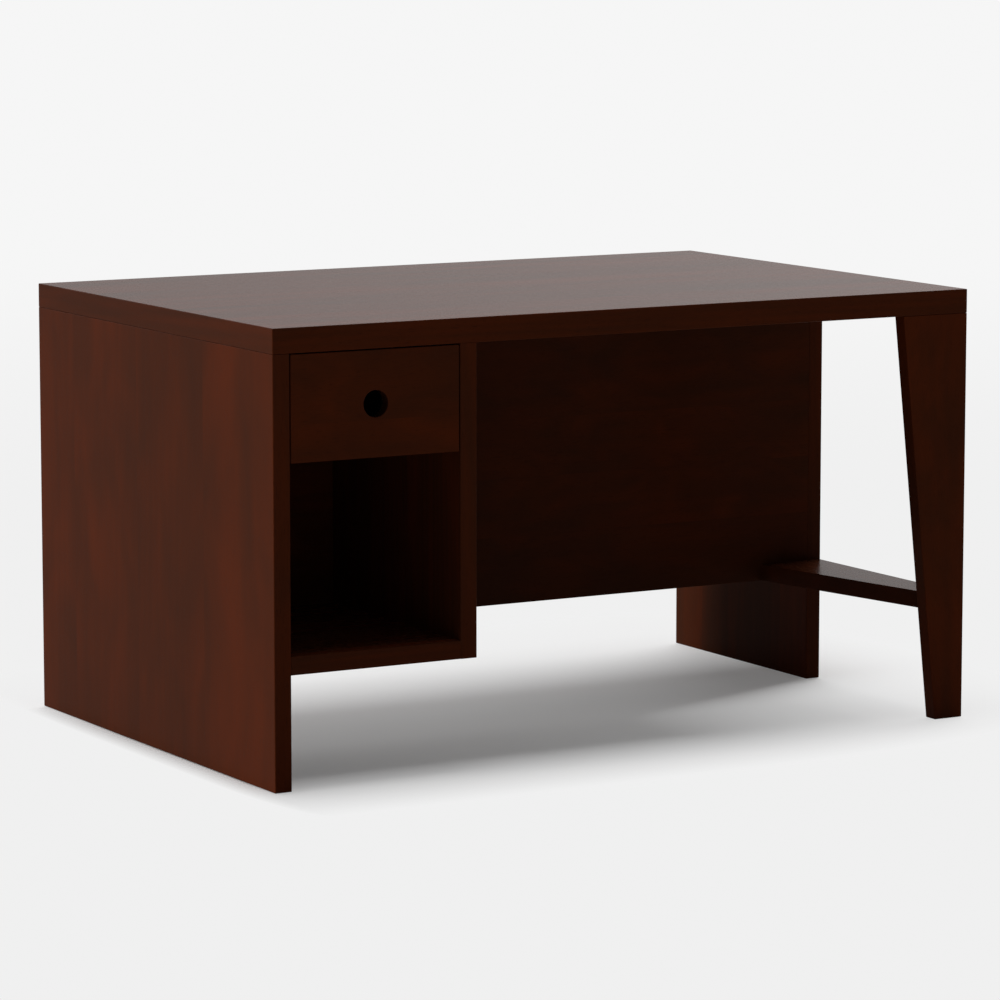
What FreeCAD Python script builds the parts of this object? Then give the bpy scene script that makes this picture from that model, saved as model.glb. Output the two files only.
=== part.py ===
import FreeCAD, Part
import Sketcher
import os
import re
from FreeCAD import Placement, Rotation, Vector

# Driving sizes in millimetres: alias, value, what it measures.
driving_sizes = [
    ("desk_width", "1370", "left end to right end"),
    ("desk_depth", "910", "front to back"),
    ("desk_height", "764", "floor to writing surface"),
    ("top_thickness", "42", "slab"),
    ("end_thickness", "31", "left end panel"),
    ("side_thickness", "31", "pedestal side panel"),
    ("floor_thickness", "31", "pedestal floor"),
    ("modesty_thickness", "25", "modesty panel"),
    ("support_thickness", "29", "rear support"),
    ("pedestal_width", "379", "outside of the left end to outside of the pedestal side"),
    ("underside_height", "194", "clear height under pedestal, modesty panel and stretcher"),
    ("kneehole_depth", "454", "front edge to modesty panel"),
    ("leg_thickness", "28", "front leg"),
    ("leg_top_width", "134.5", "front leg under the top"),
    ("leg_foot_width", "57.5", "front leg at the floor"),
    ("stretcher_thickness", "30", "stretcher"),
    ("stretcher_back_width", "132", "stretcher at the modesty panel"),
    ("stretcher_front_width", "54", "stretcher at the leg"),
    ("edge_ease", "1.5", "rounding of the boards' edges"),
    ("face_height", "177.5", "drawer face"),
    ("face_thickness", "20", "drawer face"),
    ("face_side_gap", "2", "reveal beside the drawer face"),
    ("face_top_gap", "2", "reveal above the drawer face"),
    ("pull_hole_diameter", "45", "finger hole in the drawer face"),
    ("pull_hole_relief", "5", "how far the hole in the box clears the finger hole"),
    ("box_height", "120", "drawer box"),
    ("box_back_gap", "34", "drawer box to modesty panel"),
    ("box_rise", "25", "lower edge of the face to lower edge of the box"),
    ("box_thickness", "12", "drawer box boards"),
    ("tail_wide", "27", "dovetail at its end"),
    ("tail_narrow", "21", "dovetail at its root"),
    ("bottom_thickness", "6", "drawer bottom"),
    ("groove_depth", "6", "groove for the drawer bottom"),
    ("groove_rise", "11", "lower edge of the box to the groove"),
    ("groove_play", "0.2", "drawer bottom in its groove"),
    ("slide_back_gap", "32", "drawer slide to modesty panel"),
    ("slide_height", "45", "drawer slide"),
    ("slide_thickness", "12.7", "drawer slide, panel to drawer box"),
    ("slide_overlap", "20", "length of a slide still inside when the drawer is full out"),
    ("slide_setback", "2", "behind the drawer face"),
    ("rail_gauge", "1", "sheet of the slide members"),
    ("cage_gauge", "0.5", "sheet of the ball cages"),
    ("cage_length", "150", "ball cage"),
    ("running_gap", "0.3", "between moving members"),
    ("outer_ball_diameter", "4", "balls between cabinet and middle member"),
    ("inner_ball_diameter", "3.2", "balls between middle and drawer member"),
    ("ball_play", "0.1", "ball between its races"),
    ("rail_screw_diameter", "3.5", "slide screw"),
    ("rail_screw_length", "11", "slide screw under its head"),
    ("rail_head_diameter", "7", "slide screw head"),
    ("rail_head_height", "1.2", "slide screw head"),
    ("face_screw_diameter", "4", "drawer face screw"),
    ("face_screw_length", "25", "drawer face screw under its head"),
    ("face_head_diameter", "8.5", "drawer face screw head"),
    ("face_head_height", "2.4", "drawer face screw head"),
    ("bracket_screw_diameter", "4.5", "bracket screw"),
    ("bracket_screw_length", "16", "bracket screw under its head"),
    ("bracket_head_diameter", "9", "bracket screw head"),
    ("bracket_head_height", "2.6", "bracket screw head"),
    ("screw_play", "0.15", "screw in its pilot or clearance hole, all round"),
    ("bore_end_gap", "0.5", "beyond the end of a pin in its blind hole"),
    ("bracket_length", "90", "leg bracket"),
    ("bracket_flange", "40", "leg bracket, each flange"),
    ("bracket_gauge", "2.5", "leg bracket"),
    ("dowel_diameter", "8", "dowel"),
    ("dowel_length", "35", "dowel"),
    ("dowel_in_face", "13", "length of a dowel in the board that is met"),
    ("dowel_chamfer", "1", "dowel ends"),
    ("pin_play", "0.05", "dowel, bolt, cam or glide in its bore, all round"),
    ("cam_diameter", "15", "cam lock"),
    ("cam_height", "13", "cam lock"),
    ("cam_sink", "0.3", "cam lock below the board's surface"),
    ("cam_setback", "34", "seam to cam centre"),
    ("cam_axis_depth", "9", "board's surface to bolt axis"),
    ("cam_play", "0.3", "bolt in the cam's slot"),
    ("cam_recess_depth", "3", "driver recess"),
    ("cam_recess_length", "8", "driver recess"),
    ("cam_recess_width", "1.4", "driver recess"),
    ("cap_diameter", "17", "cover cap"),
    ("cap_thickness", "1", "cover cap"),
    ("cap_ease", "0.4", "cover cap edge"),
    ("cap_peg_diameter", "3", "cover cap peg"),
    ("cap_peg_length", "2.5", "cover cap peg"),
    ("bolt_thread_diameter", "6", "cam bolt in the board that is met"),
    ("bolt_thread_length", "11", "cam bolt in the board that is met"),
    ("bolt_tip_length", "1.5", "cam bolt point"),
    ("bolt_shank_diameter", "7", "cam bolt between seam and neck"),
    ("bolt_channel_diameter", "8", "bore for the shank"),
    ("bolt_neck_diameter", "4", "cam bolt behind its head"),
    ("bolt_neck_length", "6", "cam bolt behind its head"),
    ("bolt_head_diameter", "6.5", "cam bolt head"),
    ("bolt_head_length", "3", "cam bolt head"),
    ("glide_diameter", "20", "floor glide"),
    ("glide_thickness", "4", "floor glide"),
    ("glide_proud", "1", "floor glide below the board"),
    ("nail_diameter", "2.5", "glide nail"),
    ("nail_length", "18", "glide nail above the floor"),
    ("nail_tip_length", "3", "glide nail point"),
    ("nail_head_diameter", "5", "glide nail head"),
    ("nail_head_height", "1", "glide nail head"),
    ("nail_head_depth", "2", "floor to the seat of the nail head"),
    ("cut_overrun", "1", "how far an open cut runs past the piece"),
]

# Places along a seam or a piece, as shares of its length.
front_dowel_shares = (0.08, 0.5, 0.92)
front_cam_shares = (0.2, 0.8)
rear_dowel_shares = (0.08, 0.5, 0.92)
rear_cam_shares = (0.2, 0.8)
modesty_dowel_shares = (0.05, 0.3, 0.7, 0.95)
modesty_cam_shares = (0.12, 0.5, 0.88)
floor_dowel_shares = (0.1, 0.5, 0.9)
floor_cam_shares = (0.25, 0.75)
side_back_dowel_shares = (0.1, 0.4, 0.7, 0.92)
cross_dowel_shares = (0.08, 0.5, 0.92)
cross_cam_shares = (0.25, 0.75)
pair_shares = (0.2, 0.8)
middle_shares = (0.5,)
tail_shares = (0.18, 0.5, 0.82)
rail_screw_shares = (0.1, 0.5, 0.9)
box_screw_x_shares = (0.2, 0.8)
box_screw_z_shares = (0.2, 0.85)
end_glide_shares = (0.06, 0.5, 0.94)
support_glide_shares = (0.12, 0.88)
cage_ball_count = 6
screw_tip_share = 0.25
screw_dome_share = 0.6
screw_recess_share = 0.55
recess_width_share = 0.25
along_share = 0.9
least_cut_share = 0.3

doc = FreeCAD.newDocument("kneehole_desk")
sheet = doc.addObject("Spreadsheet::Sheet", "Sizes")
for row, (alias, size, note) in enumerate(driving_sizes, start=1):
    sheet.set(f"A{row}", size)
    sheet.setAlias(f"A{row}", alias)
    sheet.set(f"B{row}", note)
doc.recompute()

aliases = {alias for alias, size, note in driving_sizes}
units = {"X": Vector(1, 0, 0), "Y": Vector(0, 1, 0), "Z": Vector(0, 0, 1)}
# Origin plane square to each axis, and the sense of its normal along that axis.
planes = {"X": ("YZ_Plane", 1), "Y": ("XZ_Plane", -1), "Z": ("XY_Plane", 1)}
sketch_axes = {"X": "YZ", "Y": "XZ", "Z": "XY"}
desk_middle = {"X": "desk_width / 2", "Y": "desk_depth / 2", "Z": "0"}
nodes = []
pockets = []


def bind(target, prop, text):
    """Tie a property to an expression written in the sheet's aliases."""
    qualified = re.sub(r"[a-z_]+", lambda word: f"Sizes.{word[0]}" if word[0] in aliases else word[0], text)
    target.setExpression(prop, qualified)


def value(text):
    return float(sheet.evalExpression(text))


def at_share(span, share):
    start, end = span
    return f"({start} + ({end} - ({start})) * {share})"


def rectangle(low_u, low_v, high_u, high_v):
    return [(low_u, low_v), (high_u, low_v), (high_u, high_v), (low_u, high_v)]


def runs_along(edge, axis):
    way = edge.Vertexes[-1].Point - edge.Vertexes[0].Point
    return abs(way.dot(units[axis])) > along_share * way.Length


class Piece:
    """A body drawn in desk coordinates: x from the left end, y from the front, z from the floor."""

    def __init__(self, label, x, y, z, middle=desk_middle):
        self.label = label
        self.corner = {"X": x, "Y": y, "Z": z}
        self.body = doc.addObject("PartDesign::Body", label)
        self.body.Label = label
        for axis, place in self.corner.items():
            bind(self.body, f"Placement.Base.{axis.lower()}", f"{place} - {middle[axis]}")

    def sketch(self, axis, level):
        role, sense = planes[axis]
        made = self.body.newObject("Sketcher::SketchObject", f"{self.label}_sketch")
        plane = next(feature for feature in self.body.Origin.OriginFeatures if feature.Role == role)
        made.AttachmentSupport = (plane, [""])
        made.MapMode = "FlatFace"
        bind(made, "AttachmentOffset.Base.z", f"({sense}) * ({level} - ({self.corner[axis]}))")
        return made

    def local(self, axis, place):
        return [f"{text} - ({self.corner[name]})" for name, text in zip(sketch_axes[axis], place)]

    def pin(self, sketch, shape, spot, place):
        for kind, text in zip(("DistanceX", "DistanceY"), place):
            index = sketch.addConstraint(Sketcher.Constraint(kind, -1, 1, shape, spot, value(text)))
            bind(sketch, f"Constraints[{index}]", text)

    def outline(self, sketch, axis, points):
        first = sketch.GeometryCount
        places = [self.local(axis, point) for point in points]
        spots = [Vector(value(u), value(v), 0) for u, v in places]
        for start, end in zip(spots, spots[1:] + spots[:1]):
            sketch.addGeometry(Part.LineSegment(start, end))
        for index, place in enumerate(places):
            after = first + (index + 1) % len(places)
            sketch.addConstraint(Sketcher.Constraint("Coincident", first + index, 2, after, 1))
        for index, place in enumerate(places):
            self.pin(sketch, first + index, 1, place)

    def circle(self, sketch, axis, centre, diameter):
        place = self.local(axis, centre)
        spot = Vector(value(place[0]), value(place[1]), 0)
        shape = sketch.addGeometry(Part.Circle(spot, units["Z"], value(diameter) / 2))
        index = sketch.addConstraint(Sketcher.Constraint("Diameter", shape, value(diameter)))
        bind(sketch, f"Constraints[{index}]", diameter)
        self.pin(sketch, shape, 3, place)

    def grow(self, axis, sketch, length):
        made = self.body.newObject("PartDesign::Pad", f"{self.label}_pad")
        made.Profile = sketch
        made.Reversed = axis == "Y"
        bind(made, "Length", length)
        return self

    def pad(self, axis, level, points, length):
        sketch = self.sketch(axis, level)
        self.outline(sketch, axis, points)
        return self.grow(axis, sketch, length)

    def revolve(self, points):
        sketch = self.sketch("Y", "0")
        self.outline(sketch, "Y", points)
        made = self.body.newObject("PartDesign::Revolution", f"{self.label}_turned")
        made.Profile = sketch
        made.ReferenceAxis = (sketch, ["V_Axis"])
        return self

    def pocket(self, axis, sketch, depth, way):
        made = self.body.newObject("PartDesign::Pocket", f"{self.label}_pocket")
        made.Profile = sketch
        made.Reversed = (way > 0) != (axis == "Y")
        bind(made, "Length", depth)
        pockets.append((made, sketch))

    def drill(self, axis, level, centres, diameter, depth, way):
        sketch = self.sketch(axis, level)
        for centre in centres:
            self.circle(sketch, axis, centre, diameter)
        self.pocket(axis, sketch, depth, way)

    def cut(self, axis, level, outlines, depth, way):
        sketch = self.sketch(axis, level)
        for points in outlines:
            self.outline(sketch, axis, points)
        self.pocket(axis, sketch, depth, way)

    def ease(self, radius, chosen=lambda edge: True, feature="Fillet", prop="Radius"):
        doc.recompute()
        base = self.body.Tip
        names = [f"Edge{index}" for index, edge in enumerate(base.Shape.Edges, start=1) if chosen(edge)]
        made = self.body.newObject(f"PartDesign::{feature}", f"{self.label}_eased")
        made.Base = (base, names)
        bind(made, prop, radius)
        return self


def board(label, low, high, flat):
    """A board from its low to its high corner, drawn on the plane square to the flat axis."""
    piece = Piece(label, *low)
    first, second = ("XYZ".index(name) for name in sketch_axes[flat])
    depth = "XYZ".index(flat)
    points = rectangle(low[first], low[second], high[first], high[second])
    nodes.append(piece.body)
    return piece.pad(flat, low[depth], points, f"{high[depth]} - ({low[depth]})")


def fitting(label):
    """A small turned or moulded piece drawn about its own axis, to be repeated by a group."""
    return Piece(label, "0", "0", "0", {"X": "0", "Y": "0", "Z": "0"})


def group(label, master, spots):
    """Copies of a fitting, each at its place and turn, as separate solids of one node."""
    links = []
    for place, turn in spots:
        link = doc.addObject("App::Link", f"{label}_copy")
        link.LinkedObject = master.body
        link.LinkTransform = False
        link.Placement = Placement(Vector(), turn)
        for axis, text in place.items():
            bind(link, f"Placement.Base.{axis.lower()}", f"{text} - {desk_middle[axis]}")
        links.append(link)
    made = doc.addObject("Part::Compound", label)
    made.Label = label
    made.Links = links
    nodes.append(made)


def facing(axis, way):
    """The turn that takes a fitting's own Z axis to a signed desk axis."""
    return Rotation(Vector(), Vector(), units[axis] * way, "ZXY")


# Places that several boards share.
under_top = "(desk_height - top_thickness)"
side_inner = "(pedestal_width - side_thickness)"
support_inner = "(desk_width - support_thickness)"
modesty_back = "(kneehole_depth + modesty_thickness)"
leg_left = "(desk_width - leg_top_width)"
stretcher_left = "(desk_width - stretcher_back_width)"
stretcher_tip = "(desk_width - stretcher_front_width)"
face_low = f"({under_top} - face_top_gap - face_height)"
face_left = "(end_thickness + face_side_gap)"
face_right = f"({side_inner} - face_side_gap)"
box_left = "(end_thickness + slide_thickness)"
box_right = f"({side_inner} - slide_thickness)"
box_back = "(kneehole_depth - box_back_gap)"
box_low = f"({face_low} + box_rise)"
box_high = f"({box_low} + box_height)"
pull_spot = (f"({face_left} + {face_right}) / 2", f"({face_low} + face_height / 2)")

# Boards of the desk. Each rests on its glides, so the standing boards start just above the floor.
top = board("top_panel", ("0", "0", under_top), ("desk_width", "desk_depth", "desk_height"), "Z")
top.ease("edge_ease")
left_end = board("left_end_panel", ("0", "0", "glide_proud"), ("end_thickness", "desk_depth", under_top), "X")
left_end.ease("edge_ease")
side = board("pedestal_side_panel", (side_inner, "0", "underside_height"),
             ("pedestal_width", "kneehole_depth", under_top), "X")
side.ease("edge_ease", lambda edge: not runs_along(edge, "X"))
floor = board("pedestal_floor_panel", ("end_thickness", "0", "underside_height"),
              (side_inner, "kneehole_depth", "(underside_height + floor_thickness)"), "Z")
floor.ease("edge_ease", lambda edge: runs_along(edge, "X"))
modesty = board("modesty_panel", ("end_thickness", "kneehole_depth", "underside_height"),
                (support_inner, modesty_back, under_top), "Y")
modesty.ease("edge_ease", lambda edge: runs_along(edge, "X"))
support = board("rear_support_panel", (support_inner, "kneehole_depth", "glide_proud"),
                ("desk_width", "desk_depth", under_top), "X")
support.ease("edge_ease")

leg = Piece("front_leg", leg_left, "0", "glide_proud")
leg_outline = [
    ("(desk_width - leg_foot_width)", "glide_proud"),
    ("desk_width", "glide_proud"),
    ("desk_width", under_top),
    (leg_left, under_top),
]
leg.pad("Y", "0", leg_outline, "leg_thickness").ease("edge_ease")
nodes.append(leg.body)

stretcher = Piece("foot_stretcher", stretcher_left, "leg_thickness", "underside_height")
stretcher_outline = [
    (stretcher_tip, "leg_thickness"),
    ("desk_width", "leg_thickness"),
    ("desk_width", "kneehole_depth"),
    (stretcher_left, "kneehole_depth"),
]
stretcher.pad("Z", "underside_height", stretcher_outline, "stretcher_thickness")
stretcher.ease("edge_ease", lambda edge: runs_along(edge, "Y"))
nodes.append(stretcher.body)

# Dowels and cam fittings between the boards.
dowel_spots = []
bolt_spots = []
cam_spots = []
cap_spots = []


def join(edge, face, into, seam, through, skin, thickness, span, dowel_shares, cam_shares=()):
    """Bore an edge board and the board it meets, and note where the dowels and cam fittings go.

    into is the signed axis from the seam into the met board. through is the signed axis through the
    edge board, from the skin that takes the cams. span is the seam's length along the third axis.
    """
    axis, way = into
    across, inward = through
    along = next(name for name in "XYZ" if name not in (axis, across))

    def seam_spots(depth, shares):
        return [{axis: seam, across: f"({skin} + ({inward}) * {depth})", along: at_share(span, share)}
                for share in shares]

    def flat(spots, normal):
        return [tuple(spot[name] for name in sketch_axes[normal]) for spot in spots]

    pins = seam_spots(f"{thickness} / 2", dowel_shares)
    dowel_bore = "(dowel_diameter + 2 * pin_play)"
    edge.drill(axis, seam, flat(pins, axis), dowel_bore, "dowel_length - dowel_in_face + bore_end_gap", -way)
    face.drill(axis, seam, flat(pins, axis), dowel_bore, "dowel_in_face + bore_end_gap", way)
    dowel_spots.extend((spot, facing(axis, way)) for spot in pins)
    if not cam_shares:
        return
    bolts = seam_spots("cam_axis_depth", cam_shares)
    thread_bore = "(bolt_thread_diameter + 2 * pin_play)"
    face.drill(axis, seam, flat(bolts, axis), thread_bore, "bolt_thread_length + bore_end_gap", way)
    edge.drill(axis, seam, flat(bolts, axis), "bolt_channel_diameter", "cam_setback", -way)
    bolt_spots.extend((spot, facing(axis, way)) for spot in bolts)
    cams = [dict(spot, **{axis: f"({seam} - ({way}) * cam_setback)", across: skin}) for spot in bolts]
    cam_bore = "(cam_diameter + 2 * pin_play)"
    edge.drill(across, skin, flat(cams, across), cam_bore, "cam_height + cam_sink + bore_end_gap", inward)
    turn = Rotation(units[axis] * way, Vector(), units[across] * -inward, "XZY")
    cam_spots.extend((spot, turn) for spot in cams)
    cap_spots.extend((spot, turn) for spot in cams)


up, down = ("Z", 1), ("Z", -1)
right, left = ("X", 1), ("X", -1)
back, front = ("Y", 1), ("Y", -1)
whole_depth = ("0", "desk_depth")
front_half = ("0", "kneehole_depth")
rear_half = (modesty_back, "desk_depth")
cross_height = ("underside_height", under_top)
modesty_length = ("end_thickness", support_inner)

join(left_end, top, up, under_top, left, "end_thickness", "end_thickness", front_half,
     front_dowel_shares, front_cam_shares)
join(left_end, top, up, under_top, left, "end_thickness", "end_thickness", rear_half,
     rear_dowel_shares, rear_cam_shares)
join(side, top, up, under_top, right, side_inner, "side_thickness", front_half,
     front_dowel_shares, front_cam_shares)
join(modesty, top, up, under_top, front, modesty_back, "modesty_thickness", modesty_length,
     modesty_dowel_shares, modesty_cam_shares)
join(support, top, up, under_top, right, support_inner, "support_thickness", rear_half,
     rear_dowel_shares, rear_cam_shares)
join(leg, top, up, under_top, back, "0", "leg_thickness", (leg_left, "desk_width"), pair_shares)
join(floor, left_end, left, "end_thickness", up, "underside_height", "floor_thickness", front_half,
     floor_dowel_shares, floor_cam_shares)
join(floor, side, right, side_inner, up, "underside_height", "floor_thickness", front_half,
     floor_dowel_shares, floor_cam_shares)
join(floor, modesty, back, "kneehole_depth", up, "underside_height", "floor_thickness",
     ("end_thickness", side_inner), pair_shares)
join(side, modesty, back, "kneehole_depth", right, side_inner, "side_thickness", cross_height,
     side_back_dowel_shares)
join(modesty, left_end, left, "end_thickness", front, modesty_back, "modesty_thickness", cross_height,
     cross_dowel_shares, cross_cam_shares)
join(modesty, support, right, support_inner, front, modesty_back, "modesty_thickness", cross_height,
     cross_dowel_shares, cross_cam_shares)
join(stretcher, modesty, back, "kneehole_depth", up, "underside_height", "stretcher_thickness",
     (stretcher_left, support_inner), pair_shares, middle_shares)
join(stretcher, leg, front, "leg_thickness", up, "underside_height", "stretcher_thickness",
     (stretcher_tip, "desk_width"), pair_shares, middle_shares)

dowel = fitting("dowel")
dowel_sketch = dowel.sketch("Z", "dowel_in_face - dowel_length")
dowel.circle(dowel_sketch, "Z", ("0", "0"), "dowel_diameter")
dowel.grow("Z", dowel_sketch, "dowel_length")
dowel.ease("dowel_chamfer", lambda edge: len(edge.Vertexes) == 1, "Chamfer", "Size")
group("wooden_dowels", dowel, dowel_spots)

bolt = fitting("cam_bolt")
bolt_neck_end = "(bolt_head_length + bolt_neck_length - cam_setback)"
bolt.revolve([
    ("0", "-cam_setback"),
    ("bolt_head_diameter / 2", "-cam_setback"),
    ("bolt_head_diameter / 2", "bolt_head_length - cam_setback"),
    ("bolt_neck_diameter / 2", "bolt_head_length - cam_setback"),
    ("bolt_neck_diameter / 2", bolt_neck_end),
    ("bolt_shank_diameter / 2", bolt_neck_end),
    ("bolt_shank_diameter / 2", "0"),
    ("bolt_thread_diameter / 2", "0"),
    ("bolt_thread_diameter / 2", "bolt_thread_length - bolt_tip_length"),
    ("0", "bolt_thread_length"),
])
group("cam_bolts", bolt, bolt_spots)


def cross(length, width):
    """Outline of a driver recess, two slots crossed on the fitting's axis."""
    long_arm, short_arm = f"{length} / 2", f"{width} / 2"
    signs = [(1, 1), (-1, 1), (-1, -1), (1, -1)]
    points = []
    for index, (sign_u, sign_v) in enumerate(signs):
        arm = [(short_arm, long_arm), (short_arm, short_arm), (long_arm, short_arm)]
        ordered = arm[::-1] if index % 2 == 0 else arm
        points.extend((f"({sign_u}) * {u}", f"({sign_v}) * {v}") for u, v in ordered)
    return points


cam = fitting("cam_lock")
cam_floor = "(-cam_sink - cam_height)"
cam_sketch = cam.sketch("Z", cam_floor)
cam.circle(cam_sketch, "Z", ("0", "0"), "cam_diameter")
cam.grow("Z", cam_sketch, "cam_height")
head_room = "(bolt_head_diameter / 2 + cam_play)"
neck_room = "(bolt_neck_diameter / 2 + cam_play)"
slot_depth = f"-cam_axis_depth + {head_room} - {cam_floor}"
cam_mouth = "cam_diameter / 2 + cut_overrun"
head_slot = rectangle("-cam_play", f"-{head_room}", "bolt_head_length + cam_play", head_room)
neck_slot = rectangle("bolt_head_length", f"-{neck_room}", cam_mouth, neck_room)
cam.cut("Z", cam_floor, [head_slot], slot_depth, 1)
cam.cut("Z", cam_floor, [neck_slot], slot_depth, 1)
cam.drill("Z", "-cam_sink", [("0", "0")], "cap_peg_diameter + 2 * pin_play", "cam_recess_depth", -1)
cam.cut("Z", "-cam_sink", [cross("cam_recess_length", "cam_recess_width")], "cam_recess_depth", -1)
group("cam_locks", cam, cam_spots)

cap = fitting("cam_cap")
cap.revolve([
    ("0", "-cap_peg_length"),
    ("cap_peg_diameter / 2", "-cap_peg_length"),
    ("cap_peg_diameter / 2", "0"),
    ("cap_diameter / 2", "0"),
    ("cap_diameter / 2", "cap_thickness - cap_ease"),
    ("cap_diameter / 2 - cap_ease", "cap_thickness"),
    ("0", "cap_thickness"),
])
group("cam_cover_caps", cap, cap_spots)


def screw(kind):
    """A wood screw with a domed head on Z = 0, its shank below, and a cross recess."""
    made = fitting(f"{kind}_screw")
    shank = f"{kind}_screw_diameter / 2"
    length = f"{kind}_screw_length"
    head = f"{kind}_head_diameter"
    height = f"{kind}_head_height"
    tip = f"({length} * {screw_tip_share})"
    made.revolve([
        ("0", f"-{length}"),
        (shank, f"{tip} - {length}"),
        (shank, "0"),
        (f"{head} / 2", "0"),
        (f"{head} / 2", height),
        ("0", height),
    ])
    rim = value(height)
    made.ease(f"{height} * {screw_dome_share}", lambda edge: edge.BoundBox.ZMin > rim - edge.Tolerance)
    slot = f"({head} * {screw_recess_share})"
    made.cut("Z", height, [cross(slot, f"{slot} * {recess_width_share}")], f"{height} / 2", -1)
    return made


# Drawer: an inset face, and a dovetailed box with a grooved-in bottom.
face = board("drawer_front", (face_left, "0", face_low),
             (face_right, "face_thickness", f"({face_low} + face_height)"), "Y")
face.drill("Y", "0", [pull_spot], "pull_hole_diameter", "face_thickness", 1)
face.ease("edge_ease")


def tail(end, root, share):
    """A dovetail in the plane of the drawer's side, from its root to the drawer's end."""
    centre = at_share((box_low, box_high), share)
    return [
        (root, f"{centre} - tail_narrow / 2"),
        (end, f"{centre} - tail_wide / 2"),
        (end, f"{centre} + tail_wide / 2"),
        (root, f"{centre} + tail_narrow / 2"),
    ]


front_root = "(face_thickness + box_thickness)"
back_root = f"({box_back} - box_thickness)"
front_tails = [tail("face_thickness", front_root, share) for share in tail_shares]
back_tails = [tail(box_back, back_root, share) for share in tail_shares]
side_outline = [(back_root, box_low), (back_root, box_high), (front_root, box_high), (front_root, box_low)]
side_outline[1:1] = [point for points in back_tails for point in points]
side_outline[-1:-1] = [point for points in reversed(front_tails) for point in reversed(points)]
groove_low = f"({box_low} + groove_rise)"
groove_high = f"({groove_low} + bottom_thickness + groove_play)"
groove_front = f"({front_root} - groove_depth)"
groove_back = f"({back_root} + groove_depth)"
groove_left = f"({box_left} + box_thickness - groove_depth)"
groove_right = f"({box_right} - box_thickness + groove_depth)"

box_sides = {}
left_inner = f"({box_left} + box_thickness)"
right_inner = f"({box_right} - box_thickness)"
side_groove = rectangle(groove_front, groove_low, groove_back, groove_high)
for hand, low, inner, way in (("left", box_left, left_inner, -1), ("right", right_inner, right_inner, 1)):
    piece = Piece(f"drawer_box_{hand}_side", low, "face_thickness", box_low)
    piece.pad("X", low, side_outline, "box_thickness")
    piece.cut("X", inner, [side_groove], "groove_depth", way)
    nodes.append(piece.body)
    box_sides[hand] = piece

box_ends = {}
end_groove = rectangle(groove_left, groove_low, groove_right, groove_high)
for name, low, high, inner, way, tails in (
        ("front", "face_thickness", front_root, front_root, -1, front_tails),
        ("back", back_root, box_back, back_root, 1, back_tails)):
    piece = board(f"drawer_box_{name}", (box_left, low, box_low), (box_right, high, box_high), "Y")
    piece.cut("X", box_left, tails, "box_thickness", 1)
    piece.cut("X", box_right, tails, "box_thickness", -1)
    piece.cut("Y", inner, [end_groove], "groove_depth", way)
    box_ends[name] = piece
box_ends["front"].drill("Y", "face_thickness", [pull_spot], "pull_hole_diameter + 2 * pull_hole_relief",
                        "box_thickness", 1)

bottom = board("drawer_bottom",
               (f"({groove_left} + groove_play)", f"({groove_front} + groove_play)", groove_low),
               (f"({groove_right} - groove_play)", f"({groove_back} - groove_play)",
                f"({groove_low} + bottom_thickness)"), "Z")

box_screw_places = [{"X": at_share((box_left, box_right), share_x), "Y": front_root,
                     "Z": at_share((box_low, box_high), share_z)}
                    for share_x in box_screw_x_shares for share_z in box_screw_z_shares]
box_screw_centres = [(place["X"], place["Z"]) for place in box_screw_places]
face_screw_bore = "(face_screw_diameter + 2 * screw_play)"
box_ends["front"].drill("Y", front_root, box_screw_centres, face_screw_bore, "box_thickness", -1)
face.drill("Y", "face_thickness", box_screw_centres, face_screw_bore,
           "face_screw_length - box_thickness + bore_end_gap", -1)
group("drawer_front_screws", screw("face"), [(place, facing("Y", 1)) for place in box_screw_places])

# Drawer slides. Distances across a slide run from the panel (0) to the drawer box (slide_thickness).
slide_start = "(face_thickness + slide_setback)"
slide_end = "(kneehole_depth - slide_back_gap)"
slide_length = f"({slide_end} - {slide_start})"
slide_travel = f"({slide_length} - slide_overlap)"
slide_level = f"({box_low} + box_height / 2)"
outer_cage_web = "(rail_gauge + rail_head_height + running_gap)"
middle_web = f"({outer_cage_web} + cage_gauge + running_gap)"
inner_cage_web = f"({middle_web} + rail_gauge + running_gap)"
drawer_tip = f"({inner_cage_web} + cage_gauge + running_gap)"
outer_ball_place = f"({middle_web} + running_gap + outer_ball_diameter / 2)"
outer_cage_tip = f"({outer_ball_place} + outer_ball_diameter / 2 + cage_gauge)"
cabinet_tip = f"({outer_cage_tip} + running_gap + rail_gauge)"
inner_ball_place = f"({drawer_tip} + running_gap + inner_ball_diameter / 2)"
inner_cage_tip = f"({inner_ball_place} + inner_ball_diameter / 2 + cage_gauge)"
middle_tip = f"({inner_cage_tip} + running_gap)"
outer_race = "(slide_height / 2 - rail_gauge)"
middle_half = f"({outer_race} - outer_ball_diameter - ball_play)"
inner_race = f"({middle_half} - rail_gauge)"
drawer_half = f"({inner_race} - inner_ball_diameter - ball_play)"
outer_ball_level = f"(({outer_race} + {middle_half}) / 2)"
inner_ball_level = f"(({inner_race} + {drawer_half}) / 2)"
cage_room = f"({slide_length} - {slide_travel} / 2)"
cage_start = f"({slide_start} + {slide_travel} / 4 + ({cage_room} - cage_length) / 2)"
rail_bore = "(rail_screw_diameter + 2 * screw_play)"
rail_pilot = "rail_screw_length - rail_gauge + bore_end_gap"
rail_screws = {"cabinet": [], "drawer": []}


def channel(web, tip, half, gauge, inward):
    """Outline of a channel: a web, and flanges that reach to the tip."""
    inside = f"({web} + ({inward}) * {gauge})"
    return [
        (web, f"-{half}"), (tip, f"-{half}"), (tip, f"{gauge} - {half}"), (inside, f"{gauge} - {half}"),
        (inside, f"{half} - {gauge}"), (tip, f"{half} - {gauge}"), (tip, half), (web, half),
    ]


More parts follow.
